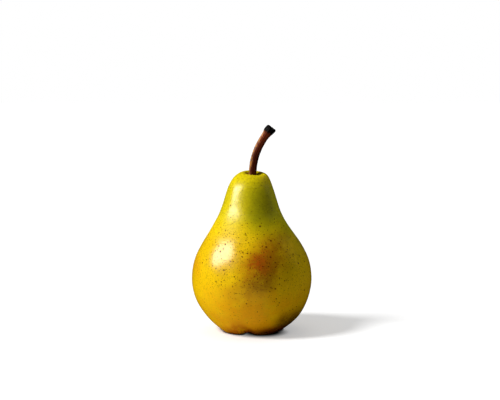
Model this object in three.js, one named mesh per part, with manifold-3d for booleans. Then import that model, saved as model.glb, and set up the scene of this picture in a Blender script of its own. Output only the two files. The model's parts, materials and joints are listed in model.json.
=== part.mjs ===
// A whole ripe pear standing on its base: the fruit, its bent woody stem, and in the hollow
// underneath the dried sepals and stamens of the flower it grew from.
// Millimetres, +Z up. The origin is on the floor under the fruit's axis, and -Y is the front.
import * as THREE from "three";
import { mergeVertices } from "three/addons/utils/BufferGeometryUtils.js";
import Module from "manifold-3d";

const wasm = await Module();
wasm.setup();

const { clamp, degToRad, lerp, smoothstep } = THREE.MathUtils;

// Driving dimensions of the fruit: stations on its outline, from the calyx up to the stem
const CALYX = { radius: 2.4, height: 7.6 };
const FOOT = { radius: 12.5, height: -0.25 };
const HEEL = { radius: 19, height: 1.05, slope: degToRad(37.5) };
const BELLY = { radius: 35, height: 30.8 };
const NECK = { radius: 16.3, height: 73.8, slope: degToRad(18.3) };
const RIM = { radius: 4.8, height: 92.4 };
const CAVITY = { radius: 2.65, height: 87.6 };
const SOCKET_DEPTH = 5.5;

// How far the outline runs on straight out of each station before it bends
const CALYX_REACH = 4.6;
const FOOT_REACH_IN = 6;
const FOOT_REACH_OUT = 5;
const HEEL_REACH_IN = 2.4;
const HEEL_REACH_OUT = 5.5;
const BELLY_REACH_DOWN = 17.2;
const BELLY_REACH_UP = 19.4;
const NECK_REACH_DOWN = 19.3;
const NECK_REACH_UP = 7.6;
const RIM_REACH_OUT = 6.9;
const RIM_REACH_IN = 1.4;
const CAVITY_REACH = 2.2;

// Where the fruit departs from a body of revolution
const LOBES = 5;
const GROOVE_TURN = degToRad(-6);
const GROOVE_DEPTH = 0.3;
const FRONT_GROOVE_EXTRA = 1.7;
const GROOVE_SHARPNESS = 5;
const FRONT_SHARPNESS = 4;
const GROOVE_PULL_IN = 0.5;
const GROOVE_FADE_HEIGHT = 6;
const GROOVE_INNER_RADIUS = 3;
const GROOVE_FULL_RADIUS = 10;
const NECK_LEAN = -0.75;
const LEAN_START = 48;
const LEAN_END = 66;
const LOW_BULGE = 0.5;
const LOW_BULGE_HEIGHT = 9;
const LOW_BULGE_SPAN = 6;
const CROWN_START = 80;
const CROWN_FULL = 90;
const CROWN_OUTER_RADIUS = 10;
const RIM_TILT_BACK = 0.75;
const RIM_TILT_LEFT = 0.45;
const SWELL = 0.25;
const SWELL_QUARTERS = 0.12;

// Driving dimensions of the stem: its path in the XZ plane, and its radius along that path
const STEM_FOOT = new THREE.Vector2(0.4, 82.5);
const STEM_FOOT_HANDLE = new THREE.Vector2(0, 98);
const STEM_END_HANDLE = new THREE.Vector2(1, 105.8);
const STEM_END = new THREE.Vector2(11.3, 118.6);
const STEM_RADIUS = 2.25;
const STEM_FLARE_RADIUS = 3.05;
const STEM_FLARE_LENGTH = 8;
const STEM_END_BEVEL = 0.7;
const STEM_END_DENT = 0.5;

// Driving dimensions of the dried flower remains
const SEPALS = 5;
const SEPAL_LENGTH = 4.8;
const SEPAL_BASE_WIDTH = 1.35;
const SEPAL_BULGE = 1.75;
const SEPAL_THICKNESS = 0.5;
const SEPAL_RING_RADIUS = 2.9;
const SEPAL_HEIGHT = 6.7;
const SEPAL_DROOP = degToRad(50);
const TUFT_TOP = 7.25;
const TUFT_BOTTOM = 3.65;
const TUFT_TOP_RADIUS = 1.2;
const TUFT_WAIST_RADIUS = 0.9;
const TUFT_WAIST_HEIGHT = 5.8;
const TUFT_MOUTH_RADIUS = 1.5;
const TUFT_MOUTH_DENT = 0.45;

// Fineness of the meshes
const TURNS = 56;
const STEM_TURNS = 20;
const STEM_STEPS = 18;
const FLARE_STEPS = 6;
const TUFT_TURNS = 16;

const SKIN = new THREE.MeshStandardMaterial({ color: 0xd9b411, roughness: 0.38, metalness: 0 });
const BARK = new THREE.MeshStandardMaterial({ color: 0x5b2c12, roughness: 0.6, metalness: 0 });
const HUSK = new THREE.MeshStandardMaterial({ color: 0x2e2013, roughness: 0.85, metalness: 0 });

// Points along the cubic curve between two stations, without the first one
function stretch(start, startHandle, endHandle, end, steps) {
  const curve = new THREE.CubicBezierCurve(start, startHandle, endHandle, end);
  return curve.getPoints(steps).slice(1);
}

function station({ radius, height }) {
  return new THREE.Vector2(radius, height);
}

function shifted(point, across, up) {
  return new THREE.Vector2(point.x + across, point.y + up);
}

// The fruit's outline, from the axis at the calyx round the outside to the axis in the stem's socket
function fruitOutline() {
  const calyx = station(CALYX);
  const foot = station(FOOT);
  const heel = station(HEEL);
  const belly = station(BELLY);
  const neck = station(NECK);
  const rim = station(RIM);
  const cavity = station(CAVITY);
  const heelRun = new THREE.Vector2(Math.cos(HEEL.slope), Math.sin(HEEL.slope));
  const neckRun = new THREE.Vector2(-Math.sin(NECK.slope), Math.cos(NECK.slope));
  const along = (point, run, reach) => point.clone().addScaledVector(run, reach);
  return [
    new THREE.Vector2(0, CALYX.height),
    calyx,
    ...stretch(calyx, shifted(calyx, CALYX_REACH, 0), shifted(foot, -FOOT_REACH_IN, 0), foot, 8),
    ...stretch(foot, shifted(foot, FOOT_REACH_OUT, 0), along(heel, heelRun, -HEEL_REACH_IN), heel, 4),
    ...stretch(heel, along(heel, heelRun, HEEL_REACH_OUT), shifted(belly, 0, -BELLY_REACH_DOWN), belly, 9),
    ...stretch(belly, shifted(belly, 0, BELLY_REACH_UP), along(neck, neckRun, -NECK_REACH_DOWN), neck, 10),
    ...stretch(neck, along(neck, neckRun, NECK_REACH_UP), shifted(rim, RIM_REACH_OUT, 0), rim, 8),
    ...stretch(rim, shifted(rim, -RIM_REACH_IN, 0), shifted(cavity, 0, CAVITY_REACH), cavity, 4),
    shifted(cavity, 0, -SOCKET_DEPTH),
    new THREE.Vector2(0, CAVITY.height - SOCKET_DEPTH),
  ];
}

// Sideways offset of the fruit's middle line: the neck leans left, the low belly bulges right, and
// the ring round the stem follows the stem instead of the neck
function middleLine(height, radius) {
  const lean = NECK_LEAN * smoothstep(height, LEAN_START, LEAN_END);
  const bulge = LOW_BULGE * Math.exp(-(((height - LOW_BULGE_HEIGHT) / LOW_BULGE_SPAN) ** 2));
  const ring = 1 - smoothstep(radius, RIM.radius, CROWN_OUTER_RADIUS);
  return lerp(lean + bulge, STEM_FOOT.x, height > CROWN_START ? ring : 0);
}

// Depth of the grooves between the lobes of the base, deepest at the front
function grooveDepth(turn, height, radius) {
  const groove = (0.5 + 0.5 * Math.cos(LOBES * (turn - GROOVE_TURN))) ** GROOVE_SHARPNESS;
  const front = (0.5 + 0.5 * Math.cos(turn - GROOVE_TURN)) ** FRONT_SHARPNESS;
  const deepest = GROOVE_DEPTH + FRONT_GROOVE_EXTRA * front;
  const fade = Math.exp(-Math.max(height, 0) / GROOVE_FADE_HEIGHT);
  return deepest * groove * fade * smoothstep(radius, GROOVE_INNER_RADIUS, GROOVE_FULL_RADIUS);
}

// Height that the ring round the stem gains: its back and left lips stand higher
function rimTilt(turn, height, radius) {
  const crown = smoothstep(height, CROWN_START, CROWN_FULL);
  const ring = smoothstep(radius, 0, RIM.radius) * (1 - smoothstep(radius, RIM.radius, CROWN_OUTER_RADIUS));
  return -crown * ring * (RIM_TILT_BACK * Math.cos(turn) + RIM_TILT_LEFT * Math.sin(turn));
}

// Slight swelling between the sides, largest at the belly, that leaves the left and right outline alone
function swelling(turn, radius) {
  const waves = SWELL * Math.sin(2 * turn) + SWELL_QUARTERS * Math.sin(4 * turn);
  return waves * (radius / BELLY.radius) ** 2;
}

// Moves each point of the turned body to its grown place
function growFruit(geometry) {
  const position = geometry.getAttribute("position");
  for (let i = 0; i < position.count; i += 1) {
    const x = position.getX(i);
    const y = position.getY(i);
    const height = position.getZ(i);
    const radius = Math.hypot(x, y);
    const turn = Math.atan2(x, -y);
    const depth = grooveDepth(turn, height, radius);
    const grown = radius + swelling(turn, radius) - GROOVE_PULL_IN * depth;
    const middle = middleLine(height, radius);
    position.setXYZ(
      i,
      middle + grown * Math.sin(turn),
      -grown * Math.cos(turn),
      height + depth + rimTilt(turn, height, radius),
    );
  }
}

// A profile of radius against height turned about Z, with turn 0 at the front
function turned(profile, segments) {
  return new THREE.LatheGeometry(profile, segments).rotateX(Math.PI / 2);
}

function solid(geometry) {
  const bare = geometry.clone();
  bare.deleteAttribute("normal");
  bare.deleteAttribute("uv");
  const merged = mergeVertices(bare, 1e-3);
  const vertProperties = merged.getAttribute("position").array;
  const triVerts = new Uint32Array(merged.index.array);
  return new wasm.Manifold(new wasm.Mesh({ numProp: 3, vertProperties, triVerts }));
}

function surface(manifold) {
  const mesh = manifold.getMesh();
  const geometry = new THREE.BufferGeometry();
  geometry.setAttribute("position", new THREE.BufferAttribute(mesh.vertProperties, 3));
  geometry.setIndex(new THREE.BufferAttribute(mesh.triVerts, 1));
  geometry.computeVertexNormals();
  return geometry;
}

// The fruit, pressed flat where its lobes meet the floor
function fruit() {
  const body = turned(fruitOutline(), TURNS);
  growFruit(body);
  const floorSide = 4 * BELLY.radius;
  const floorThickness = 10;
  const floor = new THREE.BoxGeometry(floorSide, floorSide, floorThickness);
  floor.translate(0, 0, -floorThickness / 2);
  return new THREE.Mesh(surface(solid(body).subtract(solid(floor))), SKIN);
}

// The stem's radius against the distance along it: even, then flared to the scar where it left the twig
function stemOutline(length) {
  const flareStart = new THREE.Vector2(STEM_RADIUS, length - STEM_FLARE_LENGTH);
  const flareEnd = new THREE.Vector2(STEM_FLARE_RADIUS, length - STEM_END_BEVEL);
  const half = STEM_FLARE_LENGTH / 2;
  const flareStartHandle = shifted(flareStart, 0, half);
  const flareEndHandle = shifted(flareEnd, 0, -half / 2);
  const shank = Array.from(
    { length: STEM_STEPS },
    (_, i) => new THREE.Vector2(STEM_RADIUS, (i * flareStart.y) / STEM_STEPS),
  );
  return [
    new THREE.Vector2(0, 0),
    ...shank,
    flareStart,
    ...stretch(flareStart, flareStartHandle, flareEndHandle, flareEnd, FLARE_STEPS),
    new THREE.Vector2(STEM_FLARE_RADIUS - STEM_END_BEVEL, length),
    new THREE.Vector2(0, length - STEM_END_DENT),
  ];
}

// The stem's turned shape carried along its bent path
function stem() {
  const path = new THREE.CubicBezierCurve(STEM_FOOT, STEM_FOOT_HANDLE, STEM_END_HANDLE, STEM_END);
  const length = path.getLength();
  const geometry = turned(stemOutline(length), STEM_TURNS);
  const position = geometry.getAttribute("position");
  for (let i = 0; i < position.count; i += 1) {
    const along = clamp(position.getZ(i) / length, 0, 1);
    const centre = path.getPointAt(along);
    const run = path.getTangentAt(along);
    const across = position.getX(i);
    position.setXYZ(i, centre.x + across * run.y, position.getY(i), centre.y - across * run.x);
  }
  return new THREE.Mesh(geometry, BARK);
}

// One dried sepal: a pointed leaf that hangs outwards from the calyx
function sepal() {
  const half = SEPAL_BASE_WIDTH / 2;
  const leaf = new THREE.Shape();
  leaf.moveTo(-half, 0);
  leaf.lineTo(half, 0);
  leaf.quadraticCurveTo(SEPAL_BULGE, SEPAL_LENGTH / 2, 0, SEPAL_LENGTH);
  leaf.quadraticCurveTo(-SEPAL_BULGE, SEPAL_LENGTH / 2, -half, 0);
  const geometry = new THREE.ExtrudeGeometry(leaf, {
    depth: SEPAL_THICKNESS,
    bevelEnabled: false,
    curveSegments: 6,
  });
  const mesh = new THREE.Mesh(geometry, HUSK);
  mesh.rotation.x = -SEPAL_DROOP;
  mesh.position.set(0, SEPAL_RING_RADIUS, SEPAL_HEIGHT);
  return mesh;
}

// The tuft of dried stamens in the middle of the calyx, as one tapering bundle
function driedStamens() {
  const profile = [
    new THREE.Vector2(0, TUFT_BOTTOM + TUFT_MOUTH_DENT),
    new THREE.Vector2(TUFT_MOUTH_RADIUS, TUFT_BOTTOM),
    new THREE.Vector2(TUFT_WAIST_RADIUS, TUFT_WAIST_HEIGHT),
    new THREE.Vector2(TUFT_TOP_RADIUS, TUFT_TOP),
    new THREE.Vector2(0, TUFT_TOP),
  ];
  return new THREE.Mesh(turned(profile, TUFT_TURNS), HUSK);
}

function pear() {
  const group = new THREE.Group();
  const add = (name, mesh, parent = group) => {
    mesh.name = name;
    parent.add(mesh);
  };
  add("fruit", fruit());
  add("stem", stem());
  for (let i = 0; i < SEPALS; i += 1) {
    const place = new THREE.Group();
    place.rotation.z = (i * 2 * Math.PI) / SEPALS;
    add(`sepal_${i + 1}`, sepal(), place);
    group.add(place);
  }
  add("dried_stamens", driedStamens());
  return group;
}

export default pear();
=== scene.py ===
import json
import math
from functools import partial
from typing import NamedTuple

import bpy
import numpy as np
from bpy.props import FloatProperty, FloatVectorProperty, IntProperty, PointerProperty
from mathutils import Euler, Matrix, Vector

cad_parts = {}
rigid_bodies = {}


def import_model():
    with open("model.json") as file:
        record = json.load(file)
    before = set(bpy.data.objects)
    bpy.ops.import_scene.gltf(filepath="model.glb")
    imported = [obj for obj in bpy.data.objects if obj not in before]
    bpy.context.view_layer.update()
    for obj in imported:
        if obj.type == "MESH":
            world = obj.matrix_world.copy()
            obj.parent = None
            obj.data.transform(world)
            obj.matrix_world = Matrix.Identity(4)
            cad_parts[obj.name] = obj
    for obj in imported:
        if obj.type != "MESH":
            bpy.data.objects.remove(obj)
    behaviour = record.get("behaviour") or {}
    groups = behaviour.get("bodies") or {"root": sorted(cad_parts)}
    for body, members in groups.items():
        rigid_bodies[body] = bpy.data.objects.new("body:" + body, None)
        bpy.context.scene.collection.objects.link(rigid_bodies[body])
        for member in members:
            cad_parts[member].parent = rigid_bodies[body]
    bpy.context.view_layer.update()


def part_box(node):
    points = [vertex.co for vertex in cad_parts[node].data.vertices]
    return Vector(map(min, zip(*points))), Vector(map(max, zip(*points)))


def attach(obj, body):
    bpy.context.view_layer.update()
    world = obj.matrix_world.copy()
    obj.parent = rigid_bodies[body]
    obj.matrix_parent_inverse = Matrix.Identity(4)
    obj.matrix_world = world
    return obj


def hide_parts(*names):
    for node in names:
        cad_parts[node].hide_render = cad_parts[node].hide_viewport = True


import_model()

bl_info = {
    "name": "Ripe Pear",
    "version": (1, 0, 0),
    "blender": (4, 5, 0),
    "location": "3D View > Sidebar > Pear",
    "description": "Grows a ripe pear with its stem and the dried remains of its flower",
    "category": "Add Mesh",
}

FRUIT_LOW, FRUIT_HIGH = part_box("fruit")
MM = 0.001
SEED = 7

# The fruit's outline: its fixed stations and slopes, and how far it runs straight before it bends
CALYX_RADIUS = 2.4 * MM
CALYX_HEIGHT = 7.6 * MM
CALYX_REACH = 4.6 * MM
FOOT_REACH_IN = 6.0 * MM
FOOT_REACH_OUT = 5.0 * MM
HEEL_RADIUS = 19.0 * MM
HEEL_HEIGHT = 1.05 * MM
HEEL_SLOPE = math.radians(37.5)
HEEL_REACH_IN = 2.4 * MM
HEEL_REACH_OUT = 5.5 * MM
BELLY_REACH_DOWN = 17.2 * MM
BELLY_REACH_UP = 19.4 * MM
NECK_SLOPE = math.radians(18.3)
NECK_REACH_DOWN = 19.3 * MM
NECK_REACH_UP = 7.6 * MM
RIM_REACH_OUT = 5.9 * MM
RIM_REACH_IN = 1.5 * MM
CAVITY_HEIGHT = 88.2 * MM
CAVITY_REACH = 2.0 * MM
SOCKET_FLOOR = 82.2 * MM
SOCKET_GAP = 0.12 * MM

# Steps of the fruit's grid: round it, along each stretch of its outline, and in to its two poles
FRUIT_TURNS = 360
BASIN_STEPS = 34
FOOT_STEPS = 16
BELLY_STEPS = 54
SHOULDER_STEPS = 68
CROWN_STEPS = 44
CAVITY_STEPS = 24
SOCKET_STEPS = 4
CALYX_RINGS = np.linspace(0.15, 1.0, 6)[:, None]
SOCKET_RINGS = np.linspace(0.8, 0.2, 3)[:, None]

# Where the fruit departs from a body of revolution
LOBES = 5
GROOVE_TURN = math.radians(-6.0)
GROOVE_DEPTH = 0.3 * MM
FRONT_GROOVE_EXTRA = 1.2 * MM
GROOVE_SHARPNESS = 3.5
FRONT_SHARPNESS = 4
GROOVE_PULL_IN = 0.5
GROOVE_FADE_HEIGHT = 6.0 * MM
GROOVE_INNER_RADIUS = 3.0 * MM
GROOVE_FULL_RADIUS = 10.0 * MM
NECK_LEAN = -0.75 * MM
LEAN_START = 48.0 * MM
LEAN_END = 66.0 * MM
LOW_BULGE = 0.4 * MM
LOW_BULGE_HEIGHT = 9.0 * MM
LOW_BULGE_SPAN = 6.0 * MM
CROWN_START = 80.0 * MM
CROWN_FULL = 90.0 * MM
CROWN_OUTER_RADIUS = 13.5 * MM
RIM_TILT_BACK = 0.9 * MM
RIM_TILT_LEFT = 0.45 * MM
RIM_SHIFT_RIGHT = 0.5 * MM
SWELL_HALVES = 0.25 * MM
SWELL_QUARTERS = 0.12 * MM

# Soft unevenness of the skin: many small waves of these lengths and heights
DIMPLE_WAVES = 26
DIMPLE_LENGTH_MIN = 9.0 * MM
DIMPLE_LENGTH_MAX = 30.0 * MM
DIMPLE_HEIGHT = 0.075 * MM


class Oval(NamedTuple):
    """A soft oval on the fruit's front, in millimetres: middle and spread across, middle and spread up"""

    across: float
    wide: float
    up: float
    tall: float
    strength: float = 1.0
    slant: float = 0.0


# The sunburnt patch, a wide brown veil with a small red core that lean to the right, and spots beside it
SLANT_HEIGHT = 45
VEIL = Oval(10, 12, 44, 16, slant=0.385)
CORE = Oval(1.2, 7, 45, 9.5, slant=0.55)
BLUSH_OVALS = (VEIL._replace(strength=0.2), CORE._replace(strength=0.6), Oval(4.5, 6, 40, 5, 0.22))
# Brown round the red core, with painted shade in some of these ovals
BRUISE_AND_SHADE_OVALS = (
    VEIL._replace(strength=0.75),
    Oval(9, 8, 38, 9, 0.4),
    # Painted shade on the shaded right shoulder
    Oval(18, 11, 57, 9, 0.2),
    Oval(4, 8, 37, 8, 0.15),
    # Darkens the front low on the belly
    Oval(-8, 11, 25, 8, 0.36),
)
FRECKLE_OVALS = (VEIL._replace(strength=0.3), CORE._replace(strength=0.6), Oval(-16, 8, 48, 9, 0.4))

# The stem's path in the XZ plane, as in the CAD part, and the steps of its grid
STEM_FOOT = (0.4 * MM, 82.5 * MM)
STEM_FOOT_HANDLE = (0.0, 98.0 * MM)
STEM_END_HANDLE = (1.0 * MM, 105.8 * MM)
STEM_END = (11.3 * MM, 118.6 * MM)
STEM_RINGS = 200
STEM_TURNS = 128
SCAR_RINGS = 25
SCAR_CLOSED = 0.97


class Knot(NamedTuple):
    """A swelling of the stem, in millimetres: distance from the foot, spread and height, and its turn"""

    along: float
    spread: float
    height: float
    turn: float


# The stem's bark and flared end. Its ridges are listed by how many go round, each with its height in
# millimetres.
BARK_RIDGES = {2: 0.04, 3: 0.05, 5: 0.05, 8: 0.045, 13: 0.03, 21: 0.02}
BARK_PHASE = 6.28
BARK_TWIST = 2.5
BARK_START = 6.0 * MM
BARK_FULL = 9.0 * MM
KNOTS = (Knot(16, 1.2, 0.22, 4.2), Knot(23, 0.9, 0.16, 1.1), Knot(29, 1.4, 0.2, 5.2))
KNOT_WIDTH = 0.8
FLARE_LENGTH = 8.0 * MM
FLARE_LIP = 0.8 * MM
SCAR_SLANT = 0.8 * MM
SCAR_DOME = 0.6 * MM
SCAR_DENT = 0.3 * MM
SCAR_START = 6.0 * MM
SCAR_FULL = 0.2 * MM
WARM_START = 20.0 * MM
WARM_FULL = 31.0 * MM

# The dried flower: steps of the grids, where its pieces start, and how they bend
SEPAL_RINGS = 40
SEPAL_TURNS = 28
SEPAL_START = 1.9 * MM
SEPAL_HEIGHT = 7.5 * MM
SEPAL_DROOP = math.radians(50)
SEPAL_CURL = 1.5
SEPAL_HALF_THICKNESS = 0.16 * MM
SEPAL_CUP = 0.35
CRINKLE_HEIGHT = 0.10 * MM
STAMEN_RINGS = 26
STAMEN_TURNS = 10
STAMEN_HEIGHT = 7.7 * MM
STAMEN_INNER_RADIUS = 0.25 * MM
STAMEN_FEET_SPREAD = 0.85 * MM
STAMEN_SPLAY = 0.45
STAMEN_RADIUS = 0.11 * MM
ANTHER_SWELL = 0.20 * MM
GOLDEN_ANGLE = 2.39996


class Freckles(NamedTuple):
    """One size of freckle: spacing, largest radius and shift in millimetres, how dark, and how common"""

    spacing: float
    radius: float
    shift: float
    strength: float
    share: float
    drifting: float
    low: float
    high: float


FRECKLE_SIZES = (
    Freckles(0.95, 0.36, 3.1, strength=0.75, share=1.0, drifting=0.6, low=-0.15, high=0.75),
    Freckles(1.7, 0.54, 11.7, strength=0.95, share=1.0, drifting=0.9, low=-0.1, high=1.1),
    Freckles(3.2, 0.84, 23.9, strength=0.95, share=0.5, drifting=0.9, low=-0.1, high=1.1),
)

# Sizes of the other patterns in millimetres. The skin's grain is coarser than on a real pear, to show.
CLOUD_SIZE = 9.0
GRAIN_SIZE = 1.1
STREAK_WIDTH = 0.7
FLECK_SIZE = 0.5
VEIN_SPACING = 0.6

# How the streaks are drawn out, heights of relief, the noises' middle value, and strengths in the skin
STREAK_SQUEEZE = 0.22
GRAIN_RELIEF = 0.08 * MM
STREAK_RELIEF = 0.15 * MM
VEIN_RELIEF = 0.1 * MM
NOISE_MIDDLE = 0.5
STAIN_STRENGTH = 0.35
GRAIN_CONTRAST = 1.4
SKIN_LIGHTNESS = 0.98
SKIN_GLOSS = 0.5
SKIN_GLOSS_MEAN = 0.4

# Sockets of a Mix node that is set to colours, whose other sockets have the same names
MIX_FACTOR = 0
MIX_BELOW = 6
MIX_ABOVE = 7


class Ring(NamedTuple):
    """A value round a point of the floor: point and two radii in millimetres, value inside and outside"""

    x: float
    y: float
    inner: float
    outer: float
    inside: float
    outside: float


# The floor: how much light it throws back, less of it beside the pear, and a painted contact shadow at the
# foot with a faint ring of painted shade round it
BOUNCE_RING = Ring(-30, -50, 40, 120, inside=1.0, outside=0.35)
SHADOW_RING = Ring(30, 6, 22, 54, inside=0.05, outside=1.0)
FOOT_SHADOW_RING = Ring(6.5, -8, 8, 17, inside=0.0, outside=1.0)
HALO_SHADOW_RING = Ring(2, -10, 14, 40, inside=0.88, outside=1.0)
PAPER_WHITE = 0.8
PAPER_MIRRORED = (0.005, 0.005, 0.005, 1.0)
# Painted light: a glow that only the camera sees, dimmed by occlusion near the contact
PAPER_GLOW = 0.47
CONTACT_GAP = 0.9 * MM
CONTACT_SHARPNESS = 2.0
WHITE = (1.0, 1.0, 1.0, 1.0)


class Lamp(NamedTuple):
    """A light: degrees left of the camera and above the floor, metres away, degrees of roll, and its size"""

    side: float
    lift: float
    distance: float
    roll: float = 0.0
    wide: float = 0.0
    tall: float = 0.0
    spread: float = 0.0


LIGHT_TARGET = (0.0, 0.0, 45.0 * MM)
SOFTBOX = Lamp(65, 27, 0.9, wide=0.58, tall=0.53)
GLOSS_CARD = Lamp(75, 34.5, 0.9, roll=30, wide=0.68, tall=0.44)
RIM_CARD = Lamp(-112, 30, 0.9, wide=0.8, tall=0.8)
SHADOW_LAMP = Lamp(67.5, 49, 1.5, spread=15)
OVERHEAD = Lamp(0, 90, 1.2, spread=100)
CAMERA_RIGHT = -1.02 * MM


def linear(hex_colour):
    """Turns an sRGB hex colour such as "#d9b411" into linear red, green and blue."""
    channels = np.array([int(hex_colour[i:i + 2], 16) for i in (1, 3, 5)]) / 255
    low = channels / 12.92
    high = ((channels + 0.055) / 1.055) ** 2.4
    return tuple(np.where(channels <= 0.04045, low, high).tolist())


def length_property(label, description, default):
    """A length that a user may change, in metres."""
    return FloatProperty(
        name=label, description=description, default=default, min=0.0, subtype="DISTANCE", unit="LENGTH"
    )


def colour_property(label, description, hex_colour):
    """A colour that a user may change, given as sRGB hex and stored as linear."""
    return FloatVectorProperty(
        name=label, description=description, default=linear(hex_colour), min=0.0, max=1.0, subtype="COLOR"
    )


def power_property(label, description, default, unit="POWER"):
    """The power of a light that a user may change, in watts, or with no unit for a sun."""
    return FloatProperty(name=label, description=description, default=default, min=0.0, unit=unit)


class PearSizes(bpy.types.PropertyGroup):
    """Sizes that set the pear's proportions"""

    belly_radius: length_property(
        "Belly radius", "Radius at the widest part", (FRUIT_HIGH.x - FRUIT_LOW.x) / 2
    )
    belly_height: length_property("Belly height", "Height of the widest part above the floor", 30.8 * MM)
    foot_radius: length_property("Foot radius", "Radius of the ring of lobes it stands on", 12.5 * MM)
    neck_radius: length_property("Neck radius", "Radius halfway up the neck", 16.3 * MM)
    neck_height: length_property("Neck height", "Height at which the neck has that radius", 73.8 * MM)
    rim_radius: length_property("Rim radius", "Radius of the lip round the stem's hollow", 5.8 * MM)
    rim_height: length_property("Rim height", "Height of that lip above the floor", 92.4 * MM)
    stem_radius: length_property("Stem radius", "Radius of the stem along its shank", 2.25 * MM)
    stem_flare: length_property("Stem end radius", "Radius of the flared end of the stem", 3.05 * MM)
    sepal_length: length_property("Sepal length", "Length of one dried sepal", 5.2 * MM)
    sepal_width: length_property("Sepal width", "Width of one dried sepal", 2.6 * MM)
    stamen_length: length_property("Stamen length", "Length of the longest dried stamen", 3.4 * MM)
    stamen_count: IntProperty(name="Stamens", description="Number of dried stamens", default=20, min=3)


class PearColours(bpy.types.PropertyGroup):
    """Colours of the pear's skin, stem and dried flower"""

    gold: colour_property("Gold", "Ripe skin on the sunny side of the belly", "#e6bb04")
    lemon: colour_property("Lemon", "Skin of the neck on the sunny side", "#d5c00c")
    green: colour_property("Green", "Skin on the shaded side of the neck", "#bfba06")
    # This colour is greener skin and painted shade in one, on the front of the neck where the light falls
    # off
    olive: colour_property("Olive", "Unripe patch on the front of the neck", "#999106")
    ochre: colour_property("Ochre", "Skin low on the belly", "#e29e04")
    stain: colour_property("Stain", "Brownish clouds on the belly", "#b07c03")
    # This brown also paints shade low on the right and on the right shoulder
    bruise: colour_property("Bruise", "Dull brown round the reddened patch", "#916404")
    blush: colour_property("Blush", "Patch reddened by the sun", "#a44c06")
    freckle: colour_property("Freckle", "Corky dots on the skin", "#522002")
    russet: colour_property("Russet", "Rough brown skin in the hollows", "#b06c12")
    bark: colour_property("Bark", "Stem's bark in its furrows", "#4a1603")
    bark_warm: colour_property("Warm bark", "Stem's younger bark towards its end", "#6e2807")
    # Pale bark of weathered ridges, laid on more on the stem's lit left side as painted light
    bark_pale: colour_property("Pale bark", "Worn ridges of the stem's bark", "#c4853c")
    scar: colour_property("Scar", "Blackened end of the stem", "#0b0706")
    husk: colour_property("Husk", "Dried sepals and stamens", "#3a2515")
    husk_pale: colour_property("Pale husk", "Tips of the dried flower", "#7a5a38")


class PearStage(bpy.types.PropertyGroup):
    """Camera, floor and lights"""

    camera_height: length_property("Camera height", "Height of the camera above the floor", 147.3 * MM)
    camera_back: length_property("Camera distance", "How far the camera is in front", 684.3 * MM)
    camera_tilt: FloatProperty(
        name="Camera tilt", description="How far the camera looks down",
        default=math.radians(5.91), subtype="ANGLE",
    )
    key_power: power_property("Key power", "Power of the softbox", 5.15)
    gloss_power: power_property("Gloss power", "Power of the card that the skin mirrors", 9.0)
    rim_power: power_property("Rim power", "Power of the card behind the pear", 2.05)
    lamp_strength: power_property("Lamp strength", "Strength of the sun that throws the shadow", 2.4, "NONE")
    top_strength: power_property("Overhead strength", "Strength of the sun on the floor", 0.45, "NONE")
    floor_size: length_property("Floor size", "Width of the floor", 12.0)


def smoothstep(low, high, value):
    """Goes smoothly from 0 at low to 1 at high, where low may also be the greater one."""
    t = np.clip((value - low) / (high - low), 0.0, 1.0)
    return t * t * (3 - 2 * t)


def bump(centre, span, value):
    """A bell that is 1 at the centre and falls off over the span."""
    return np.exp(-(((value - centre) / span) ** 2))


def between(none, full, share):
    """A value that is none where the share is 0 and full where it is 1."""
    return none + (full - none) * share


def ovals(shapes, x, z):
    """Sum of soft ovals: each is a bell across times a bell in height, leaning to the right by its slant."""
    total = 0.0
    for oval in shapes:
        leaning = x - oval.slant * (z - SLANT_HEIGHT)
        total = total + oval.strength * bump(oval.across, oval.wide, leaning) * bump(oval.up, oval.tall, z)
    return total


def bezier(start, start_handle, end_handle, end, steps):
    """Points of a cubic curve through evenly spaced parameters, without its first point."""
    t = np.linspace(0.0, 1.0, steps + 1)[1:, None]
    corners = [np.array(point) for point in (start, start_handle, end_handle, end)]
    weights = ((1 - t) ** 3, 3 * (1 - t) ** 2 * t, 3 * (1 - t) * t ** 2, t ** 3)
    return sum(weight * corner for weight, corner in zip(weights, corners))


def cavity_radius(sizes):
    """Radius of the socket that holds the stem."""
    return sizes.stem_radius + SOCKET_GAP


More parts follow.
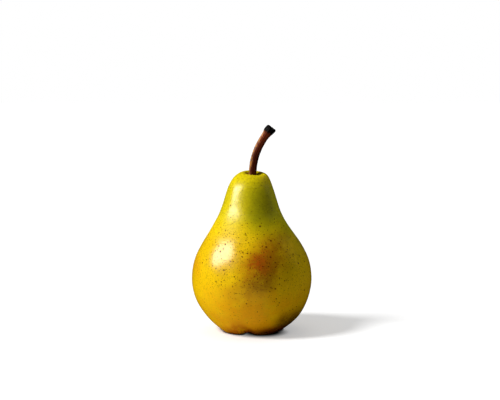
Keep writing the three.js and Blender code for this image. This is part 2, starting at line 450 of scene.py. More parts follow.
def fruit_outline(sizes):
    """Radius and height along the fruit's outline, from the calyx round the outside into the stem's socket.

    It is a chain of cubic curves between stations (calyx, foot, heel, belly, neck, rim, cavity, socket),
    each leaving its station along the outline's direction there.
    """
    heel_run = np.array([math.cos(HEEL_SLOPE), math.sin(HEEL_SLOPE)])
    neck_run = np.array([-math.sin(NECK_SLOPE), math.cos(NECK_SLOPE)])
    across = np.array([1.0, 0.0])
    up = np.array([0.0, 1.0])
    calyx = np.array([CALYX_RADIUS, CALYX_HEIGHT])
    foot = np.array([sizes.foot_radius, 0.0])
    heel = np.array([HEEL_RADIUS, HEEL_HEIGHT])
    belly = np.array([sizes.belly_radius, sizes.belly_height])
    neck = np.array([sizes.neck_radius, sizes.neck_height])
    rim = np.array([sizes.rim_radius, sizes.rim_height])
    cavity = np.array([cavity_radius(sizes), CAVITY_HEIGHT])
    socket = np.array([cavity_radius(sizes), SOCKET_FLOOR])
    return np.vstack([
        CALYX_RINGS * (calyx * across) + calyx * up,
        bezier(calyx, calyx + across * CALYX_REACH, foot - across * FOOT_REACH_IN, foot, BASIN_STEPS),
        bezier(foot, foot + across * FOOT_REACH_OUT, heel - heel_run * HEEL_REACH_IN, heel, FOOT_STEPS),
        bezier(heel, heel + heel_run * HEEL_REACH_OUT, belly - up * BELLY_REACH_DOWN, belly, BELLY_STEPS),
        bezier(belly, belly + up * BELLY_REACH_UP, neck - neck_run * NECK_REACH_DOWN, neck, SHOULDER_STEPS),
        bezier(neck, neck + neck_run * NECK_REACH_UP, rim + across * RIM_REACH_OUT, rim, CROWN_STEPS),
        bezier(rim, rim - across * RIM_REACH_IN, cavity + up * CAVITY_REACH, cavity, CAVITY_STEPS),
        bezier(cavity, cavity, socket, socket, SOCKET_STEPS),
        SOCKET_RINGS * (socket * across) + socket * up,
    ])


def waves(points, count, shortest, longest, rng):
    """Sum of sine waves of random direction and length over the points, about 1 at its peaks."""
    direction = rng.normal(size=(3, count))
    direction /= np.linalg.norm(direction, axis=0)
    length = rng.uniform(shortest, longest, count)
    phase = rng.uniform(0, 2 * math.pi, count)
    return np.sin(points @ (direction * (2 * math.pi / length)) + phase).sum(-1) / math.sqrt(count)


def fruit_surface(sizes):
    """Grid of points (outline, turn) of the fruit, and the masks that colour it.

    A point of the outline is turned about Z, with turn 0 at the front. Five grooves, deepest at the front,
    lift the foot and pull it in. The middle line shifts sideways with height, the lip round the stem is
    tilted, and the skin is raised by soft random waves.
    """
    outline = fruit_outline(sizes)
    turn = np.linspace(0, 2 * math.pi, FRUIT_TURNS, endpoint=False)[None, :]
    radius = outline[:, :1]
    height = outline[:, 1:]

    groove = (0.5 + 0.5 * np.cos(LOBES * (turn - GROOVE_TURN))) ** GROOVE_SHARPNESS
    front = (0.5 + 0.5 * np.cos(turn - GROOVE_TURN)) ** FRONT_SHARPNESS
    fade = np.exp(-np.maximum(height, 0) / GROOVE_FADE_HEIGHT)
    fade = fade * smoothstep(GROOVE_INNER_RADIUS, GROOVE_FULL_RADIUS, radius)
    depth = (GROOVE_DEPTH + FRONT_GROOVE_EXTRA * front) * groove * fade

    lean = NECK_LEAN * smoothstep(LEAN_START, LEAN_END, height)
    lean = lean + LOW_BULGE * bump(LOW_BULGE_HEIGHT, LOW_BULGE_SPAN, height)
    ring = 1 - smoothstep(sizes.rim_radius, CROWN_OUTER_RADIUS, radius)
    ring = ring * (height > CROWN_START)
    middle = between(lean, STEM_FOOT[0], ring)
    middle = middle + RIM_SHIFT_RIGHT * ring * smoothstep(cavity_radius(sizes), sizes.rim_radius, radius)

    crown = smoothstep(CROWN_START, CROWN_FULL, height) * smoothstep(0, sizes.rim_radius, radius) * ring
    tilt = -crown * (RIM_TILT_BACK * np.cos(turn) + RIM_TILT_LEFT * np.sin(turn))

    swell = SWELL_HALVES * np.sin(2 * turn) + SWELL_QUARTERS * np.sin(4 * turn)
    grown = radius + swell * (radius / sizes.belly_radius) ** 2 - GROOVE_PULL_IN * depth
    points = np.stack([middle + grown * np.sin(turn), -grown * np.cos(turn), height + depth + tilt], -1)

    rng = np.random.default_rng(SEED)
    dimples = waves(points, DIMPLE_WAVES, DIMPLE_LENGTH_MIN, DIMPLE_LENGTH_MAX, rng)
    open_skin = smoothstep(sizes.rim_radius, CROWN_OUTER_RADIUS, radius) * smoothstep(0, HEEL_RADIUS, radius)
    outward = np.stack(np.broadcast_arrays(np.sin(turn), -np.cos(turn), 0 * radius), -1)
    points = points + outward * (dimples * DIMPLE_HEIGHT * open_skin)[..., None]
    return points, fruit_marks(points, radius, height, turn, depth, sizes)


def ripeness_marks(x, y, z, facing):
    """Masks from places in millimetres: ripening colours ramping up the neck, to the right and down, and
    painted shade on the neck's front.
    """
    shade_side = smoothstep(-12, 24, x + 0.25 * y)
    neck = smoothstep(44, 80, z)
    shoulder = smoothstep(18, 46, z)
    crown = smoothstep(80, 90, z)
    green = np.clip(neck * between(0.25, 1.0, shade_side) + 0.35 * shade_side * shoulder, 0, 1)
    # Painted shade: a darker, greener patch on the front of the neck, where the light falls off
    neck_front_shade = bump(73, 15, z) * smoothstep(-13, 4, x) * smoothstep(17, 8, x) * facing
    low_belly = smoothstep(44, 16, z) * between(0.3, 0.9, bump(0, 22, x))
    left_cheek = bump(41, 8, z) * smoothstep(-24, -32, x)
    return {
        "lemon": neck * between(1.0, 0.4, shade_side),
        "green": green * between(1.0, 0.55, crown),
        "olive": neck_front_shade,
        "ochre": low_belly + 0.6 * left_cheek,
    }


def blemish_marks(x, z, facing, basin, calyx, grooves):
    """Masks of reddened, bruised and freckled skin, and of painted shade low down and on the right, from
    places in millimetres: ovals, ramps at the base.
    """
    # Redder skin at the foot, with painted contact shade that grows towards the shaded right
    base = smoothstep(9, 1, z) * between(0.35, 1.05, smoothstep(-5, 15, x))
    left_lobe = smoothstep(16, 5, z) * bump(-8, 6, x) * facing
    # Painted shade low on the right side, where the pear stands over its own shadow
    painted_underside_shade = smoothstep(22, 8, z) * smoothstep(8, 18, x) * facing
    belt = bump(46, 18, z) * between(0.4, 1.0, smoothstep(30, 14, np.abs(x)))
    hollows = 0.45 * grooves + 0.35 * basin
    return {
        "blush": ovals(BLUSH_OVALS, x, z) * facing + base + 0.5 * left_lobe + hollows,
        "bruise": ovals(BRUISE_AND_SHADE_OVALS, x, z) * facing + 0.9 * painted_underside_shade + calyx,
        "freckled": ovals(FRECKLE_OVALS, x, z) * facing + 0.7 * belt + 0.1,
    }


def wax_marks(x, z, facing):
    """Masks of the wax from places in millimetres: dull at waist and crown, rubbed right and low down."""
    waist = smoothstep(52.5, 58.5, z) * smoothstep(73, 63.5, z)
    crown = smoothstep(83.5, 88, z)
    dull = 0.1 * smoothstep(56, 68, z) + 0.85 * waist + 0.85 * crown
    rubbed = smoothstep(2, 14, x) * facing
    upper = smoothstep(20, 36, z)
    polish = between(1.0, 0.08, np.clip(dull, 0, 1)) * between(1.0, 0.1, rubbed) * between(0.2, 1.0, upper)
    grainy = 0.3 + 0.4 * smoothstep(24, 44, z) + 0.15 * smoothstep(60, 75, z)
    return {"dull": dull, "polish": polish, "grainy": grainy}


def fruit_marks(points, radius, height, turn, depth, sizes):
    """Masks from 0 to 1 over the fruit's grid that say where each colour and finish of its skin is."""
    x, y, z = np.moveaxis(points / MM, -1, 0)
    low = height < CROWN_START
    facing = smoothstep(8, -16, y)
    basin = smoothstep(sizes.foot_radius, CALYX_RADIUS, radius) * low
    calyx = smoothstep(4.5 * MM, 2 * MM, radius) * low
    grooves = smoothstep(0.3 * MM, 1.4 * MM, depth) * low
    hollow = smoothstep(sizes.rim_radius + 0.5 * MM, sizes.stem_radius, radius) * (1 - low)
    hollow_left = smoothstep(-0.2, 0.8, -np.sin(turn))
    marks = {
        **ripeness_marks(x, y, z, facing),
        **blemish_marks(x, z, facing, basin, calyx, grooves),
        **wax_marks(x, z, facing),
        "russet": hollow * hollow_left + 0.6 * basin ** 2,
    }
    return {name: np.clip(values, 0, 1) * np.ones_like(x) for name, values in marks.items()}


def stem_path():
    """Points along the stem's middle line, their tangents, and the distance along it."""
    curve = bezier(STEM_FOOT, STEM_FOOT_HANDLE, STEM_END_HANDLE, STEM_END, STEM_RINGS - 1)
    line = np.vstack([STEM_FOOT, curve])
    run = np.gradient(line, axis=0)
    steps = np.linalg.norm(np.diff(line, axis=0), axis=1)
    return line, run / np.linalg.norm(run, axis=1)[:, None], np.concatenate([[0.0], np.cumsum(steps)])


def stem_surface(sizes):
    """Grid of points (along, round) of the stem, and the masks that colour it.

    A ring with fine lengthwise ridges and a few knots is carried along the bent path. Its radius flares
    towards the end and then closes over a slanted, ragged scar, which is domed and dented in the middle.
    """
    line, run, distance = stem_path()
    length = distance[-1]
    turn = np.linspace(0, 2 * math.pi, STEM_TURNS, endpoint=False)[None, :]
    cap = np.linspace(0.0, SCAR_CLOSED, SCAR_RINGS + 1)[1:, None]
    along = np.vstack([distance[:, None], np.full_like(cap, length)])
    closing = np.vstack([np.zeros_like(distance)[:, None], cap]) * math.pi / 2

    rng = np.random.default_rng(SEED + 1)
    phases = rng.uniform(0, BARK_PHASE, len(BARK_RIDGES))
    twists = rng.uniform(-BARK_TWIST, BARK_TWIST, len(BARK_RIDGES))
    ridges = sum(
        rise * np.cos(count * turn + phase + twist * along / length)
        for (count, rise), phase, twist in zip(BARK_RIDGES.items(), phases, twists)
    )
    knots = 0.0
    for knot in KNOTS:
        beside = np.angle(np.exp(1j * (turn - knot.turn)))
        swelling = bump(knot.along * MM, knot.spread * MM, along) * bump(0, KNOT_WIDTH, beside)
        knots = knots + knot.height * swelling

    flare = smoothstep(length - FLARE_LENGTH, length - FLARE_LIP, along)
    radius = between(sizes.stem_radius, sizes.stem_flare, flare ** 1.6)
    radius = radius + (ridges * (1 + flare) + knots) * MM * smoothstep(BARK_START, BARK_FULL, along)
    radius = radius * np.cos(closing) ** 0.55
    dome = np.sin(closing)
    slanted = SCAR_SLANT * (np.cos(turn) - 1)
    ragged = 0.36 * MM * np.cos(5 * turn + 1.1) + 0.24 * MM * np.cos(8 * turn + 4.0)
    lift = slanted * (1 - dome) + ragged * (1 - 0.6 * dome) + SCAR_DOME * dome - SCAR_DENT * dome ** 6
    lift = lift * flare ** 4

    centre = np.vstack([line, np.repeat(line[-1:], len(cap), 0)])
    tangent = np.vstack([run, np.repeat(run[-1:], len(cap), 0)])
    flat = np.zeros(len(centre))
    middle = np.stack([centre[:, 0], flat, centre[:, 1]], -1)[:, None, :]
    side = np.stack([tangent[:, 1], flat, -tangent[:, 0]], -1)[:, None, :]
    ahead = np.stack([tangent[:, 0], flat, tangent[:, 1]], -1)[:, None, :]
    back = np.array([0.0, 1.0, 0.0])
    points = middle + side * (radius * np.cos(turn))[..., None] - back * (radius * np.sin(turn))[..., None]
    points = points + ahead * lift[..., None]
    marks = {
        "scar": smoothstep(length - SCAR_START, length - SCAR_FULL, along),
        # Pale weathered ridges, with painted light: paler on the left, the side the light falls on
        "ridge_and_lit_side": (0.5 + 2.2 * ridges) * (0.75 - 0.35 * np.cos(turn)),
        "warm": smoothstep(WARM_START, WARM_FULL, along),
    }
    ones = np.ones_like(radius)
    return points[:, ::-1], {name: (values * ones)[:, ::-1] for name, values in marks.items()}


def sepal_surface(index, sizes):
    """Grid of points (along, round) of one dried sepal.

    A flattened ring is carried along a path that leaves the calyx outwards and downwards and curls up at
    its tip. Its width swells from the base and runs out to a point, and the blade is cupped and crinkled.
    """
    rng = np.random.default_rng(SEED + 20 + index)
    u = np.linspace(0.0, 1.0, SEPAL_RINGS)[:, None]
    v = np.linspace(0, 2 * math.pi, SEPAL_TURNS, endpoint=False)[None, :]
    droop = SEPAL_DROOP + rng.uniform(-0.12, 0.12)
    curl = SEPAL_CURL + rng.uniform(-0.3, 0.3)
    angle = droop - curl * u ** 2
    step = sizes.sepal_length / (SEPAL_RINGS - 1)
    out = np.concatenate([[[0.0]], np.cumsum(np.cos(angle[1:]) * step)[:, None]])
    down = np.concatenate([[[0.0]], np.cumsum(np.sin(angle[1:]) * step)[:, None]])

    half_width = sizes.sepal_width / 2
    across = half_width * (0.75 + 0.45 * np.sin(math.pi * u ** 0.8)) * (1 - u ** 2.5) * np.cos(v)
    along_phase = rng.uniform(0, 6)
    round_phase = rng.uniform(0, 6)
    crinkle = CRINKLE_HEIGHT * np.sin(7 * u + along_phase) * np.cos(2 * v + round_phase)
    thick = SEPAL_HALF_THICKNESS * np.sin(v) * np.sqrt(1 - u ** 4)
    rise = thick + SEPAL_CUP * across ** 2 / half_width + crinkle

    outward = SEPAL_START + out + rise * np.sin(angle)
    height = SEPAL_HEIGHT - down + rise * np.cos(angle)
    turn = math.pi + 2 * math.pi * index / LOBES
    x = outward * math.sin(turn) + across * math.cos(turn)
    y = -outward * math.cos(turn) + across * math.sin(turn)
    return np.stack([x, y, height], -1), {"tip": u + 0 * v}


def stamen_surfaces(sizes):
    """Grids of points (stamen, along, round) of the dried stamens.

    Each is a thin ring carried down a thread that bends sideways and splays outwards, with a shrivelled
    anther swelling near its end. Their feet lie on a spiral that turns by the golden angle.
    """
    rng = np.random.default_rng(SEED + 40)
    count = sizes.stamen_count
    each = (count, 1, 1)
    u = np.linspace(0.0, 1.0, STAMEN_RINGS)[None, :, None]
    v = np.linspace(0, 2 * math.pi, STAMEN_TURNS, endpoint=False)[None, None, :]
    foot_turn = (np.arange(count) * GOLDEN_ANGLE).reshape(each)
    foot = STAMEN_INNER_RADIUS + STAMEN_FEET_SPREAD * np.sqrt(np.linspace(0.05, 1, count)).reshape(each)
    lean = rng.uniform(0.05, 0.55, each)
    bend = rng.uniform(-0.5, 0.5, each)
    reach = sizes.stamen_length * rng.uniform(0.7, 1.0, each)
    outward = foot + reach * STAMEN_SPLAY * lean * u ** 1.6
    turn = foot_turn + bend * u
    anther = ANTHER_SWELL * bump(0.92, 0.07, u)
    radius = (STAMEN_RADIUS + anther) * np.sqrt(np.clip(1 - u ** 30, 0.02, 1))
    x = outward * np.sin(turn) + radius * np.cos(v)
    y = -outward * np.cos(turn) + radius * np.sin(v)
    z = STAMEN_HEIGHT - reach * u + 0 * v
    return np.stack([x, y, z], -1)[:, :, ::-1], {"tip": (u + 0 * x)[:, :, ::-1]}


def tube_faces(rows, columns):
    """Corners of a closed tube's quads, and of the triangles that close its first and last ring on poles."""
    row, column = np.meshgrid(np.arange(rows - 1), np.arange(columns), indexing="ij")
    after = (column + 1) % columns
    quads = np.stack([
        row * columns + column,
        row * columns + after,
        (row + 1) * columns + after,
        (row + 1) * columns + column,
    ], -1).reshape(-1, 4)
    ring = np.arange(columns)
    following = (ring + 1) % columns
    top = (rows - 1) * columns
    first_pole = np.full(columns, rows * columns)
    start_fan = np.stack([following, ring, first_pole], -1)
    end_fan = np.stack([top + ring, top + following, first_pole + 1], -1)
    return quads, np.vstack([start_fan, end_fan])


def tube_object(name, grids, marks):
    """A mesh object of closed tubes: grids holds (tube, row, column) points, and marks values at them."""
    tubes, rows, columns, _ = grids.shape
    poles = [grids[:, end].mean(1, keepdims=True) for end in (0, -1)]
    vertices = np.concatenate([grids.reshape(tubes, -1, 3), *poles], 1)
    offset = (np.arange(tubes) * vertices.shape[1])[:, None, None]
    quads, fans = tube_faces(rows, columns)
    quads = (quads[None] + offset).reshape(-1, 4)
    fans = (fans[None] + offset).reshape(-1, 3)
    corners = np.concatenate([quads.ravel(), fans.ravel()])
    starts = np.concatenate([np.arange(len(quads)) * 4, quads.size + np.arange(len(fans)) * 3])

    mesh = bpy.data.meshes.new(name)
    mesh.vertices.add(vertices.size // 3)
    mesh.vertices.foreach_set("co", vertices.astype(np.float32).ravel())
    mesh.loops.add(len(corners))
    mesh.loops.foreach_set("vertex_index", corners.astype(np.int32))
    mesh.polygons.add(len(starts))
    mesh.polygons.foreach_set("loop_start", starts.astype(np.int32))
    mesh.polygons.foreach_set("use_smooth", np.ones(len(starts), bool))
    for mark, values in marks.items():
        values = values.reshape(tubes, rows, columns)
        poles = [values[:, end].mean(1, keepdims=True) for end in (0, -1)]
        full = np.concatenate([values.reshape(tubes, -1), *poles], 1).ravel()
        mesh.attributes.new(mark, "FLOAT", "POINT").data.foreach_set("value", full.astype(np.float32))
    mesh.update(calc_edges=True)
    if mesh.validate():
        raise RuntimeError(f"{name} has faces that had to be mended")
    made = bpy.data.objects.new(name, mesh)
    bpy.context.scene.collection.objects.link(made)
    return made


def settle(piece, node, material):
    """Puts a finished piece in the frame in place of its CAD node."""
    piece.data.materials.append(material)
    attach(piece, "root")
    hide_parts(node)


def add_node(tree, kind, inputs=None, **settings):
    """Adds one node: settings are its properties, inputs are values or the nodes or sockets that feed it."""
    made = tree.nodes.new(kind)
    for name, value in settings.items():
        setattr(made, name, value)
    for name, value in (inputs or {}).items():
        if isinstance(value, bpy.types.Node):
            value = next(socket for socket in value.outputs if socket.enabled)
        if isinstance(value, bpy.types.NodeSocket):
            tree.links.new(value, made.inputs[name])
        else:
            made.inputs[name].default_value = value
    return made


def new_material(name):
    """An empty node material, and the function that adds a node to it."""
    material = bpy.data.materials.new(name)
    material.use_nodes = True
    material.node_tree.nodes.clear()
    return material, partial(add_node, material.node_tree)


def millimetres(add):
    """Object coordinates counted in millimetres."""
    place = add("ShaderNodeTexCoord").outputs["Object"]
    return add("ShaderNodeVectorMath", {0: place, "Scale": 1 / MM}, operation="SCALE")


def painted(add, base, layers):
    """A base colour with layers painted over it in order, each a mask and the colour that it lets show."""
    paint = (*base, 1.0)
    for mask, colour in layers:
        inputs = {MIX_FACTOR: mask, MIX_BELOW: paint, MIX_ABOVE: (*colour, 1.0)}
        paint = add("ShaderNodeMix", inputs, data_type="RGBA")
    return paint


def clouded(add, noises, name, drifting, grainy, low, high):
    """A mask of the mesh times one plus shares of cloudy and fine noise, stretched from low to high."""
    drift, grain = noises
    mask = add("ShaderNodeAttribute", attribute_name=name).outputs["Fac"]
    uneven = add("ShaderNodeMath", {0: drift, 1: 2 * drifting, 2: 1.0}, operation="MULTIPLY_ADD")
    uneven = add("ShaderNodeMath", {0: grain, 1: 2 * grainy, 2: uneven}, operation="MULTIPLY_ADD")
    moved = add("ShaderNodeMath", {0: mask, 1: uneven}, operation="MULTIPLY")
    edges = {"Value": moved, "From Min": low, "From Max": high}
    return add("ShaderNodeMapRange", edges, interpolation_type="SMOOTHSTEP")


def freckle_dots(add, place, density, kind):
    """Round dots in random cells, from half to all of the largest radius, where the density is high."""
    moved = add("ShaderNodeVectorMath", {0: place, 1: (kind.shift,) * 3}, operation="ADD")
    cells = add("ShaderNodeTexVoronoi", {"Vector": moved, "Scale": 1 / kind.spacing})
    chance = add("ShaderNodeSeparateColor", {"Color": cells.outputs["Color"]})
    largest = kind.radius / kind.spacing
    limits = {"Value": chance.outputs["Red"], "To Min": largest / 2, "To Max": largest}
    size = add("ShaderNodeMapRange", limits)
    inner = add("ShaderNodeMath", {0: size, 1: 0.5}, operation="MULTIPLY")
    edge = {"Value": cells.outputs["Distance"], "From Min": size, "From Max": inner}
    dot = add("ShaderNodeMapRange", edge, interpolation_type="SMOOTHSTEP")
    present = add("ShaderNodeMath", {0: chance.outputs["Green"], 1: density}, operation="LESS_THAN")
    return add("ShaderNodeMath", {0: dot, 1: present}, operation="MULTIPLY")


def skin_freckles(add, place, noises):
    """Freckles of all sizes, of which the darkest shows where they overlap."""
    freckles = 0.0
    for kind in FRECKLE_SIZES:
        density = clouded(add, noises, "freckled", kind.drifting, 0.0, kind.low, kind.high)
        density = add("ShaderNodeMath", {0: density, 1: kind.share}, operation="MULTIPLY")
        dots = freckle_dots(add, place, density, kind)
        dots = add("ShaderNodeMath", {0: dots, 1: kind.strength}, operation="MULTIPLY")
        freckles = add("ShaderNodeMath", {0: freckles, 1: dots}, operation="MAXIMUM")
    return freckles


def pear_skin(colours):
    """Waxy skin of a ripe pear: smooth, half glossy, yellow drifting to green and ochre, with freckles."""
    material, add = new_material("waxy pear skin")
    place = millimetres(add)
    cloudy = add("ShaderNodeTexNoise", {"Vector": place, "Scale": 1 / CLOUD_SIZE, "Detail": 4.0})
    fine = add("ShaderNodeTexNoise", {"Vector": place, "Scale": 1 / GRAIN_SIZE, "Detail": 4.0})
    drift = add("ShaderNodeMath", {0: cloudy, 1: NOISE_MIDDLE}, operation="SUBTRACT")
    grain = add("ShaderNodeMath", {0: fine, 1: NOISE_MIDDLE}, operation="SUBTRACT")
    uneven = partial(clouded, add, (drift, grain))

    stain = uneven("freckled", drifting=1.3, grainy=1.2, low=0.35, high=1.4)
    stain = add("ShaderNodeMath", {0: stain, 1: STAIN_STRENGTH}, operation="MULTIPLY")
    freckles = skin_freckles(add, place, (drift, grain))
    russet = uneven("russet", drifting=0.6, grainy=0.9, low=0.25, high=0.8)
    skin = painted(add, colours.gold, (
        (uneven("lemon", drifting=0.5, grainy=0.2, low=0.0, high=1.0), colours.lemon),
        (uneven("green", drifting=0.6, grainy=0.3, low=0.05, high=1.0), colours.green),
        # This layer paints shade on the front of the neck, with greener skin
        (uneven("olive", drifting=0.5, grainy=0.5, low=0.0, high=1.1), colours.olive),
        (uneven("ochre", drifting=1.0, grainy=0.3, low=0.05, high=1.0), colours.ochre),
        (stain, colours.stain),
        # Brown round the red core, and painted shade low on the right and on the right shoulder
        (uneven("bruise", drifting=0.7, grainy=0.6, low=0.05, high=1.05), colours.bruise),
        (uneven("blush", drifting=0.9, grainy=0.6, low=0.05, high=1.05), colours.blush),
        (freckles, colours.freckle),
        (russet, colours.russet),
    ))

    grainy = add("ShaderNodeAttribute", attribute_name="grainy").outputs["Fac"]
    contrast = add("ShaderNodeMath", {0: grainy, 1: GRAIN_CONTRAST}, operation="MULTIPLY")
    lightness = add("ShaderNodeMath", {0: grain, 1: contrast, 2: SKIN_LIGHTNESS}, operation="MULTIPLY_ADD")
    skin = add("ShaderNodeHueSaturation", {"Color": skin, "Value": lightness})

    dull = add("ShaderNodeAttribute", attribute_name="dull").outputs["Fac"]
    matt = add("ShaderNodeMath", {0: dull, 1: russet}, operation="MAXIMUM")
    polish = add("ShaderNodeAttribute", attribute_name="polish").outputs["Fac"]
    gloss = add("ShaderNodeMath", {0: polish, 1: SKIN_GLOSS}, operation="MULTIPLY")
    smooth = add("ShaderNodeMath", {0: 1.0, 1: freckles}, operation="SUBTRACT")
    shader = add("ShaderNodeBsdfPrincipled", {
        "Base Color": skin,
        "Roughness": add("ShaderNodeMapRange", {"Value": matt, "To Min": 0.22, "To Max": 0.42}),
        "IOR": 1.55,
        "Specular IOR Level": add("ShaderNodeMath", {0: gloss, 1: smooth}, operation="MULTIPLY"),
        "Specular Tint": (1.0, 0.96, 0.82, 1.0),
        "Normal": add("ShaderNodeBump", {"Strength": 0.4, "Distance": GRAIN_RELIEF, "Height": fine}),
    })
    # The socket's own value under the link, for a model that can't take the gloss from a mask
    shader.inputs["Specular IOR Level"].default_value = SKIN_GLOSS_MEAN
    add("ShaderNodeOutputMaterial", {"Surface": shader})
    return material


def stem_bark(colours):
    """Thin woody bark of the stem: brown with pale, weathered ridges laid on more on the left as painted
    light, lengthwise streaks and a blackened end.
    """
    material, add = new_material("pear stem bark")
    place = millimetres(add)
    stretched = add("ShaderNodeMapping", {"Vector": place, "Scale": (1.0, 1.0, STREAK_SQUEEZE)})
    streaks = add("ShaderNodeTexNoise", {"Vector": stretched, "Scale": 1 / STREAK_WIDTH, "Detail": 5.0})
    flecks = add("ShaderNodeTexNoise", {"Vector": place, "Scale": 1 / FLECK_SIZE, "Detail": 3.0})
    ridge_and_lit_side = add("ShaderNodeAttribute", attribute_name="ridge_and_lit_side").outputs["Fac"]
    warm = add("ShaderNodeAttribute", attribute_name="warm").outputs["Fac"]
    scar = add("ShaderNodeAttribute", attribute_name="scar").outputs["Fac"]
    # Weathered ridges, laid on thicker on the lit left side as painted light
    worn_and_lit = add("ShaderNodeMath", {0: ridge_and_lit_side, 1: streaks}, operation="MULTIPLY")
    worn_and_lit = add("ShaderNodeMath", {0: worn_and_lit, 1: flecks, 2: worn_and_lit}, operation="MULTIPLY_ADD")
    edges = {"Value": worn_and_lit, "From Min": 0.42, "From Max": 0.75}
    worn_and_lit = add("ShaderNodeMapRange", edges, interpolation_type="SMOOTHSTEP")
    burnt = add("ShaderNodeMath", {0: flecks, 1: 0.5, 2: scar}, operation="MULTIPLY_ADD")
    edges = {"Value": burnt, "From Min": 0.4, "From Max": 0.9}
    burnt = add("ShaderNodeMapRange", edges, interpolation_type="SMOOTHSTEP")
    layers = ((warm, colours.bark_warm), (worn_and_lit, colours.bark_pale), (burnt, colours.scar))
    shader = add("ShaderNodeBsdfPrincipled", {
        "Base Color": painted(add, colours.bark, layers),
        "Roughness": add("ShaderNodeMapRange", {"Value": burnt, "To Min": 0.45, "To Max": 0.7}),
        "Specular IOR Level": 0.15,
        "Normal": add("ShaderNodeBump", {"Strength": 0.5, "Distance": STREAK_RELIEF, "Height": streaks}),
    })
    add("ShaderNodeOutputMaterial", {"Surface": shader})
    return material


def dried_husk(colours):
    """Dry shrivelled plant tissue of the flower: matt dark brown, paler towards the tips."""
    material, add = new_material("dried pear flower")
    place = millimetres(add)
    veins = add("ShaderNodeTexNoise", {"Vector": place, "Scale": 1 / VEIN_SPACING, "Detail": 4.0})
    tip = add("ShaderNodeAttribute", attribute_name="tip").outputs["Fac"]
    pale = add("ShaderNodeMath", {0: tip, 1: veins}, operation="MULTIPLY")
    shader = add("ShaderNodeBsdfPrincipled", {
        "Base Color": painted(add, colours.husk, [(pale, colours.husk_pale)]),
        "Roughness": 0.85,
        "IOR": 1.5,
        "Normal": add("ShaderNodeBump", {"Strength": 0.6, "Distance": VEIN_RELIEF, "Height": veins}),
    })
    add("ShaderNodeOutputMaterial", {"Surface": shader})
    return material


class PEAR_OT_grow_fruit(bpy.types.Operator):
    """Grows the fruit with its skin"""

    bl_idname = "pear.grow_fruit"
    bl_label = "Fruit"

    def execute(self, context):
        points, marks = fruit_surface(context.scene.pear_sizes)
        fruit = tube_object("pear_fruit", points[None], marks)
        settle(fruit, "fruit", pear_skin(context.scene.pear_colours))
        return {"FINISHED"}


class PEAR_OT_grow_stem(bpy.types.Operator):
    """Grows the bent woody stem"""

    bl_idname = "pear.grow_stem"
    bl_label = "Stem"

    def execute(self, context):
        points, marks = stem_surface(context.scene.pear_sizes)
        stem = tube_object("pear_stem", points[None], marks)
        settle(stem, "stem", stem_bark(context.scene.pear_colours))
        return {"FINISHED"}


class PEAR_OT_grow_flower(bpy.types.Operator):
    """Grows the dried sepals and stamens in the hollow of the base"""

    bl_idname = "pear.grow_flower"
    bl_label = "Dried flower"

    def execute(self, context):
        sizes = context.scene.pear_sizes
        husk = dried_husk(context.scene.pear_colours)
        for index in range(LOBES):
            points, marks = sepal_surface(index, sizes)
            sepal = tube_object(f"pear_sepal_{index + 1}", points[None], marks)
            settle(sepal, f"sepal_{index + 1}", husk)
        points, marks = stamen_surfaces(sizes)
        stamens = tube_object("pear_stamens", points, marks)
        settle(stamens, "dried_stamens", husk)
        return {"FINISHED"}


def floor_ring(add, place, ring):
    """A value that changes smoothly with the distance from a point of the floor."""
    middle = (ring.x * MM, ring.y * MM, 0.0)
    limits = {
        "Value": add("ShaderNodeVectorMath", {0: place, 1: middle}, operation="DISTANCE"),
        "From Min": ring.inner * MM,
        "From Max": ring.outer * MM,
        "To Min": ring.inside,
        "To Max": ring.outside,
    }
    return add("ShaderNodeMapRange", limits, interpolation_type="SMOOTHSTEP")


def white_paper():
    """Matt white paper with a glow that only the camera sees: nearly white to the eye, with a painted
    contact shadow round the foot of the pear.
    """
    material, add = new_material("matt white paper")
    path = add("ShaderNodeLightPath")
    seen = path.outputs["Is Camera Ray"]
    mirrored = path.outputs["Is Glossy Ray"]
    place = add("ShaderNodeTexCoord").outputs["Object"]
    bounce, shadow, foot, shadow_halo = (
        floor_ring(add, place, ring) for ring in (BOUNCE_RING, SHADOW_RING, FOOT_SHADOW_RING, HALO_SHADOW_RING)
    )
    thrown = add("ShaderNodeMath", {0: bounce, 1: shadow}, operation="MULTIPLY")
    # Painted contact shadow: the paper and its glow darken round the foot, and faintly further out
    foot = add("ShaderNodeMath", {0: foot, 1: shadow_halo}, operation="MULTIPLY")
    shown = add("ShaderNodeMath", {0: foot, 1: PAPER_WHITE}, operation="MULTIPLY")
    shades = {MIX_FACTOR: seen, MIX_BELOW: thrown, MIX_ABOVE: shown}
    shade = add("ShaderNodeMix", shades, data_type="RGBA")
    shades = {MIX_FACTOR: mirrored, MIX_BELOW: shade, MIX_ABOVE: PAPER_MIRRORED}
    shade = add("ShaderNodeMix", shades, data_type="RGBA")
    paper = add("ShaderNodeBsdfDiffuse", {"Color": shade})

    contact = add("ShaderNodeAmbientOcclusion", {"Distance": CONTACT_GAP}, samples=8).outputs["AO"]
    clear = add("ShaderNodeMath", {0: contact, 1: CONTACT_SHARPNESS}, operation="POWER")
    strength = add("ShaderNodeMath", {0: clear, 1: PAPER_GLOW}, operation="MULTIPLY")
    strength = add("ShaderNodeMath", {0: strength, 1: foot}, operation="MULTIPLY")
    glow = add("ShaderNodeEmission", {"Color": WHITE, "Strength": strength})
    nothing = add("ShaderNodeEmission", {"Strength": 0.0})
    glow = add("ShaderNodeMixShader", {0: seen, 1: nothing, 2: glow})
    both = add("ShaderNodeAddShader", {0: paper, 1: glow})
    add("ShaderNodeOutputMaterial", {"Surface": both})
    return material


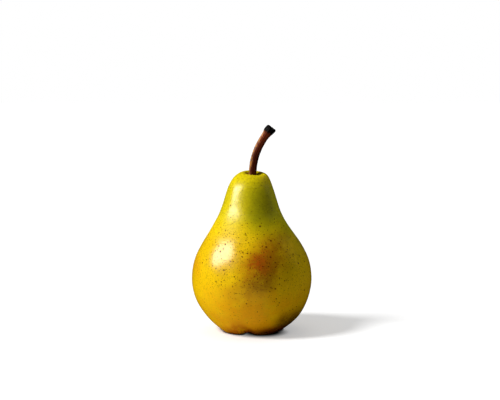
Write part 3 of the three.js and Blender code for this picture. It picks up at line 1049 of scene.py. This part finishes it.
def white_floor(size):
    """A plain pale floor: one square with its middle at the origin."""
    half = size / 2
    corners = [(-half, -half, 0), (half, -half, 0), (half, half, 0), (-half, half, 0)]
    mesh = bpy.data.meshes.new("floor")
    mesh.from_pydata(corners, [], [(0, 1, 2, 3)])
    mesh.materials.append(white_paper())
    floor = bpy.data.objects.new("floor", mesh)
    bpy.context.scene.collection.objects.link(floor)
    return floor


def aimed_light(name, kind, lamp, **settings):
    """A light the camera doesn't see, at the lamp's place, aimed at the pear and rolled about its beam."""
    light = bpy.data.lights.new(name, kind)
    for key, value in settings.items():
        setattr(light, key, value)
    made = bpy.data.objects.new(name, light)
    bpy.context.scene.collection.objects.link(made)
    side = math.radians(lamp.side)
    lift = math.radians(lamp.lift)
    away = np.array([
        -math.sin(side) * math.cos(lift),
        -math.cos(side) * math.cos(lift),
        math.sin(lift),
    ])
    made.location = tuple(np.array(LIGHT_TARGET) + away * lamp.distance)
    rolled = Matrix.Rotation(math.radians(lamp.roll), 3, "Z")
    aim = Euler((math.pi / 2 - lift, 0.0, -side)).to_matrix() @ rolled
    made.rotation_euler = aim.to_euler()
    made.visible_camera = False
    return made


def soft_card(name, lamp, power):
    """An oval area light as wide and tall as the lamp says, in metres."""
    return aimed_light(name, "AREA", lamp, energy=power, shape="ELLIPSE", size=lamp.wide, size_y=lamp.tall)


def broad_sun(name, lamp, strength):
    """A sun whose disc is as wide as the lamp's spread, in degrees."""
    return aimed_light(name, "SUN", lamp, energy=strength, angle=math.radians(lamp.spread))


def lights_only(light, name, members, state):
    """Lets a light fall on some objects only, or on all but them."""
    group = bpy.data.collections.new(name)
    for member in members:
        group.objects.link(member)
    light.light_linking.receiver_collection = group
    for entry in group.collection_objects:
        entry.light_linking.link_state = state


def studio_lights(floor, stem, stage):
    """A softbox and a card that the skin mirrors, a rim card, a sun for the shadow and one for the floor."""
    key = soft_card("softbox", SOFTBOX, stage.key_power)
    lights_only(key, "softbox falls on", [floor], "EXCLUDE")
    key.visible_glossy = False
    gleam = soft_card("gloss card", GLOSS_CARD, stage.gloss_power)
    lights_only(gleam, "gloss card falls on", [floor], "EXCLUDE")
    gleam.visible_diffuse = False
    rim = soft_card("rim card", RIM_CARD, stage.rim_power)
    lights_only(rim, "rim card falls on", [floor, *stem], "EXCLUDE")
    rim.visible_glossy = False
    sun = broad_sun("lamp", SHADOW_LAMP, stage.lamp_strength)
    sun.visible_glossy = False
    top = broad_sun("overhead", OVERHEAD, stage.top_strength)
    lights_only(top, "overhead falls on", [floor], "INCLUDE")


def white_studio():
    """A world that looks white and gives a little fill light, less of it in reflections."""
    world = bpy.data.worlds.new("white studio")
    world.use_nodes = True
    world.node_tree.nodes.clear()
    add = partial(add_node, world.node_tree)
    path = add("ShaderNodeLightPath")
    fill = {"Value": path.outputs["Is Glossy Ray"], "To Min": 0.05, "To Max": 0.015}
    dim = add("ShaderNodeBackground", {"Color": WHITE, "Strength": add("ShaderNodeMapRange", fill)})
    white = add("ShaderNodeBackground", {"Color": WHITE, "Strength": 1.0})
    seen = add("ShaderNodeMixShader", {0: path.outputs["Is Camera Ray"], 1: dim, 2: white})
    add("ShaderNodeOutputWorld", {"Surface": seen})
    return world


def studio_camera(stage):
    """A camera in front of the pear, a little above its top and looking slightly down."""
    camera = bpy.data.objects.new("camera", bpy.data.cameras.new("camera"))
    bpy.context.scene.collection.objects.link(camera)
    camera.data.lens = 85.0
    camera.data.sensor_width = 36.0
    camera.data.clip_end = 20.0
    camera.location = (CAMERA_RIGHT, -stage.camera_back, stage.camera_height)
    camera.rotation_euler = (math.pi / 2 - stage.camera_tilt, 0.0, 0.0)
    return camera


class PEAR_OT_set_stage(bpy.types.Operator):
    """Sets the floor, the soft lights and the camera"""

    bl_idname = "pear.set_stage"
    bl_label = "Stage"

    def execute(self, context):
        scene = context.scene
        floor = white_floor(scene.pear_stage.floor_size)
        stem = [piece for piece in scene.objects if piece.name == "pear_stem"]
        studio_lights(floor, stem, scene.pear_stage)
        scene.world = white_studio()
        scene.view_settings.view_transform = "Standard"
        scene.camera = studio_camera(scene.pear_stage)
        return {"FINISHED"}


class PEAR_PT_panel(bpy.types.Panel):
    """Lists the pear's pieces, sizes, colours and stage"""

    bl_label = "Ripe Pear"
    bl_space_type = "VIEW_3D"
    bl_region_type = "UI"
    bl_category = "Pear"

    def draw(self, context):
        for operator in OPERATORS:
            self.layout.operator(operator.bl_idname)
        for group in (context.scene.pear_sizes, context.scene.pear_colours, context.scene.pear_stage):
            for name in group.bl_rna.properties.keys():
                if name not in {"rna_type", "name"}:
                    self.layout.prop(group, name)


OPERATORS = (PEAR_OT_grow_fruit, PEAR_OT_grow_stem, PEAR_OT_grow_flower, PEAR_OT_set_stage)
CLASSES = (PearSizes, PearColours, PearStage, *OPERATORS, PEAR_PT_panel)


def register():
    """Makes the sizes, colours, stage, operators and panel known to Blender."""
    for item in CLASSES:
        bpy.utils.register_class(item)
    bpy.types.Scene.pear_sizes = PointerProperty(type=PearSizes)
    bpy.types.Scene.pear_colours = PointerProperty(type=PearColours)
    bpy.types.Scene.pear_stage = PointerProperty(type=PearStage)


def unregister():
    """Takes back what register did."""
    del bpy.types.Scene.pear_stage
    del bpy.types.Scene.pear_colours
    del bpy.types.Scene.pear_sizes
    for item in reversed(CLASSES):
        bpy.utils.unregister_class(item)


def main():
    """Grows the pear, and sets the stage."""
    register()
    bpy.ops.pear.grow_fruit()
    bpy.ops.pear.grow_stem()
    bpy.ops.pear.grow_flower()
    bpy.ops.pear.set_stage()


if __name__ == "__main__":
    main()
